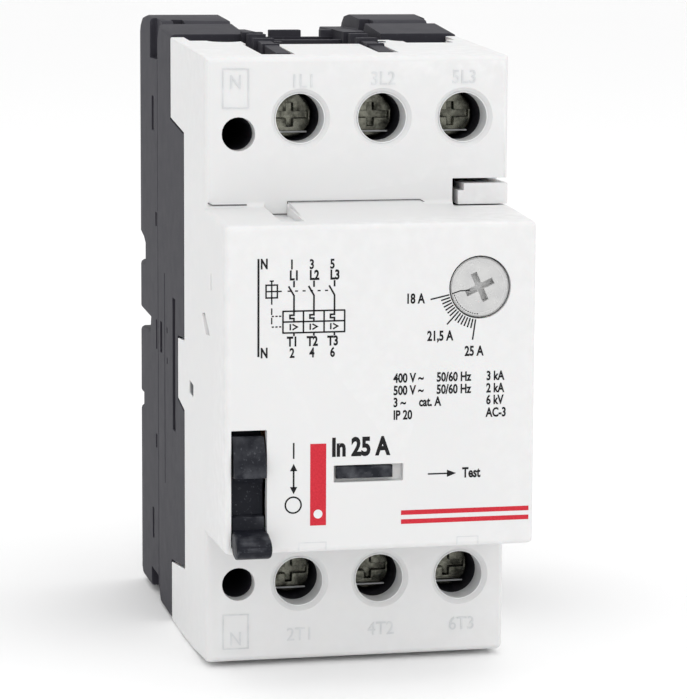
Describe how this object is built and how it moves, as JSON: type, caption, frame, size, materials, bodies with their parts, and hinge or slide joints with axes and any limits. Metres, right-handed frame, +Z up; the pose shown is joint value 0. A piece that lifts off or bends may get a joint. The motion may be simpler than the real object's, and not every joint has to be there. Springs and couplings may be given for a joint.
{
  "type": "motor protection circuit breaker",
  "caption": "Compact modular motor protection breaker: stepped white front with toggle, current dial and test slide, sunk terminal screws, black case and slotted base.",
  "frame": {"origin": "under the middle of the whole box, on the plane of its lowest face", "axes": "+Z up, +Y back from the front plate, +X to the right seen from the front"},
  "size_m": [0.0436, 0.0808, 0.0902],
  "materials": {
    "white_plastic": "light grey moulded housing plastic, fine matt texture",
    "case_plastic": "black glass-filled moulding",
    "toggle_plastic": "smooth black moulding",
    "dial_plastic": "pale translucent dial plastic",
    "amber_plastic": "brown thermoset",
    "steel": "zinc-plated steel",
    "copper": "bare copper alloy",
    "silver_contact": "silver-faced contact alloy",
    "bimetal": "rolled bimetal strip"
  },
  "bodies": {
    "housing": {"front_cover": "white_plastic", "case": "case_plastic", "rear_base": "case_plastic", "side_blank": "white_plastic", "toggle_pin": "steel", "test_spring": "steel", "latch_spring": "steel", "line_bar_1": "copper", "coil_bar_1": "copper", "load_bar_1": "copper", "arc_chute_1": "steel", "trip_coil_1": "copper", "coil_yoke_1": "steel", "bimetal_1": "bimetal", "line_bar_2": "copper", "coil_bar_2": "copper", "load_bar_2": "copper", "arc_chute_2": "steel", "trip_coil_2": "copper", "coil_yoke_2": "steel", "bimetal_2": "bimetal", "line_bar_3": "copper", "coil_bar_3": "copper", "load_bar_3": "copper", "arc_chute_3": "steel", "trip_coil_3": "copper", "coil_yoke_3": "steel", "bimetal_3": "bimetal"},
    "toggle": {"toggle": "toggle_plastic"},
    "carrier": {"contact_carrier": "amber_plastic", "contact_bridge_1": "silver_contact", "contact_bridge_2": "silver_contact", "contact_bridge_3": "silver_contact", "bridge_spring_1": "steel", "bridge_spring_2": "steel", "bridge_spring_3": "steel"},
    "plunger_1": {"trip_plunger_1": "steel"},
    "plunger_2": {"trip_plunger_2": "steel"},
    "plunger_3": {"trip_plunger_3": "steel"},
    "screw_1": {"terminal_screw_1": "steel"},
    "clamp_1": {"clamp_cage_1": "steel"},
    "screw_2": {"terminal_screw_2": "steel"},
    "clamp_2": {"clamp_cage_2": "steel"},
    "screw_3": {"terminal_screw_3": "steel"},
    "clamp_3": {"clamp_cage_3": "steel"},
    "screw_4": {"terminal_screw_4": "steel"},
    "clamp_4": {"clamp_cage_4": "steel"},
    "screw_5": {"terminal_screw_5": "steel"},
    "clamp_5": {"clamp_cage_5": "steel"},
    "screw_6": {"terminal_screw_6": "steel"},
    "clamp_6": {"clamp_cage_6": "steel"},
    "test_slide": {"test_slide": "toggle_plastic"},
    "trip_slide": {"trip_slide": "amber_plastic"},
    "trip_lever": {"trip_lever": "steel"},
    "dial": {"setting_dial": "dial_plastic"},
    "setting_lever": {"setting_lever": "steel"},
    "rear_latch": {"rear_latch": "case_plastic"}
  },
  "joints": [
    {"name": "toggle_turn", "type": "hinge", "parent": "housing", "child": "toggle", "pos_m": [-0.01835, -0.02515, 0.0286], "axis": [-1, 0, 0], "range_deg": [0, 52]},
    {"name": "carrier_close", "type": "slide", "parent": "housing", "child": "carrier", "axis": [0, 1, 0], "range_m": [0, 0.00473]},
    {"name": "plunger_1_strike", "type": "slide", "parent": "housing", "child": "plunger_1", "axis": [0, -1, 0], "range_m": [0, 0.0025], "stiffness_N_per_m": 120, "springref_m": -0.001},
    {"name": "plunger_2_strike", "type": "slide", "parent": "housing", "child": "plunger_2", "axis": [0, -1, 0], "range_m": [0, 0.0025], "stiffness_N_per_m": 120, "springref_m": -0.001},
    {"name": "plunger_3_strike", "type": "slide", "parent": "housing", "child": "plunger_3", "axis": [0, -1, 0], "range_m": [0, 0.0025], "stiffness_N_per_m": 120, "springref_m": -0.001},
    {"name": "screw_1_turn", "type": "hinge", "parent": "housing", "child": "screw_1", "pos_m": [-0.00822, -0.01245, 0.07774], "axis": [0, 1, 0], "range_deg": [0, 2160]},
    {"name": "clamp_1_rise", "type": "slide", "parent": "housing", "child": "clamp_1", "axis": [0, -1, 0], "range_m": [0, 0.0042]},
    {"name": "screw_2_turn", "type": "hinge", "parent": "housing", "child": "screw_2", "pos_m": [0.0035, -0.01245, 0.07774], "axis": [0, 1, 0], "range_deg": [0, 2160]},
    {"name": "clamp_2_rise", "type": "slide", "parent": "housing", "child": "clamp_2", "axis": [0, -1, 0], "range_m": [0, 0.0042]},
    {"name": "screw_3_turn", "type": "hinge", "parent": "housing", "child": "screw_3", "pos_m": [0.01522, -0.01245, 0.07774], "axis": [0, 1, 0], "range_deg": [0, 2160]},
    {"name": "clamp_3_rise", "type": "slide", "parent": "housing", "child": "clamp_3", "axis": [0, -1, 0], "range_m": [0, 0.0042]},
    {"name": "screw_4_turn", "type": "hinge", "parent": "housing", "child": "screw_4", "pos_m": [-0.00822, -0.01245, 0.01192], "axis": [0, 1, 0], "range_deg": [0, 2160]},
    {"name": "clamp_4_rise", "type": "slide", "parent": "housing", "child": "clamp_4", "axis": [0, -1, 0], "range_m": [0, 0.0042]},
    {"name": "screw_5_turn", "type": "hinge", "parent": "housing", "child": "screw_5", "pos_m": [0.0035, -0.01245, 0.01192], "axis": [0, 1, 0], "range_deg": [0, 2160]},
    {"name": "clamp_5_rise", "type": "slide", "parent": "housing", "child": "clamp_5", "axis": [0, -1, 0], "range_m": [0, 0.0042]},
    {"name": "screw_6_turn", "type": "hinge", "parent": "housing", "child": "screw_6", "pos_m": [0.01522, -0.01245, 0.01192], "axis": [0, 1, 0], "range_deg": [0, 2160]},
    {"name": "clamp_6_rise", "type": "slide", "parent": "housing", "child": "clamp_6", "axis": [0, -1, 0], "range_m": [0, 0.0042]},
    {"name": "test_press", "type": "slide", "parent": "housing", "child": "test_slide", "axis": [1, 0, 0], "range_m": [0, 0.00125], "stiffness_N_per_m": 400, "springref_m": -0.001},
    {"name": "trip_slide_move", "type": "slide", "parent": "housing", "child": "trip_slide", "axis": [1, 0, 0], "range_m": [0, 0.00125]},
    {"name": "trip_lever_turn", "type": "hinge", "parent": "housing", "child": "trip_lever", "pos_m": [-0.0122, -0.02395, 0.0415], "axis": [0, 0, 1], "range_deg": [0, 12.5]},
    {"name": "dial_turn", "type": "hinge", "parent": "housing", "child": "dial", "pos_m": [0.01375, -0.03595, 0.05555], "axis": [0, -1, 0], "range_deg": [0, 70]},
    {"name": "setting_lever_turn", "type": "hinge", "parent": "housing", "child": "setting_lever", "pos_m": [0.003, -0.02995, 0.05555], "axis": [0, -1, 0], "range_deg": [-6.6, 0]},
    {"name": "latch_pull", "type": "slide", "parent": "housing", "child": "rear_latch", "axis": [0, 0, -1], "range_m": [0, 0.0016], "stiffness_N_per_m": 900, "springref_m": -0.002, "deforming": ["latch_spring"]}
  ],
  "couplings": [
    {"joint": "toggle_turn", "follows": "carrier_close", "rad_per_m": 191.7},
    {"joint": "screw_1_turn", "follows": "clamp_1_rise", "rad_per_m": 8975.9},
    {"joint": "screw_2_turn", "follows": "clamp_2_rise", "rad_per_m": 8975.9},
    {"joint": "screw_3_turn", "follows": "clamp_3_rise", "rad_per_m": 8975.9},
    {"joint": "screw_4_turn", "follows": "clamp_4_rise", "rad_per_m": 8975.9},
    {"joint": "screw_5_turn", "follows": "clamp_5_rise", "rad_per_m": 8975.9},
    {"joint": "screw_6_turn", "follows": "clamp_6_rise", "rad_per_m": 8975.9},
    {"joint": "test_press", "follows": "trip_slide_move", "ratio": 1},
    {"joint": "trip_lever_turn", "follows": "trip_slide_move", "rad_per_m": 160},
    {"joint": "dial_turn", "follows": "setting_lever_turn", "ratio": -10.582}
  ]
}
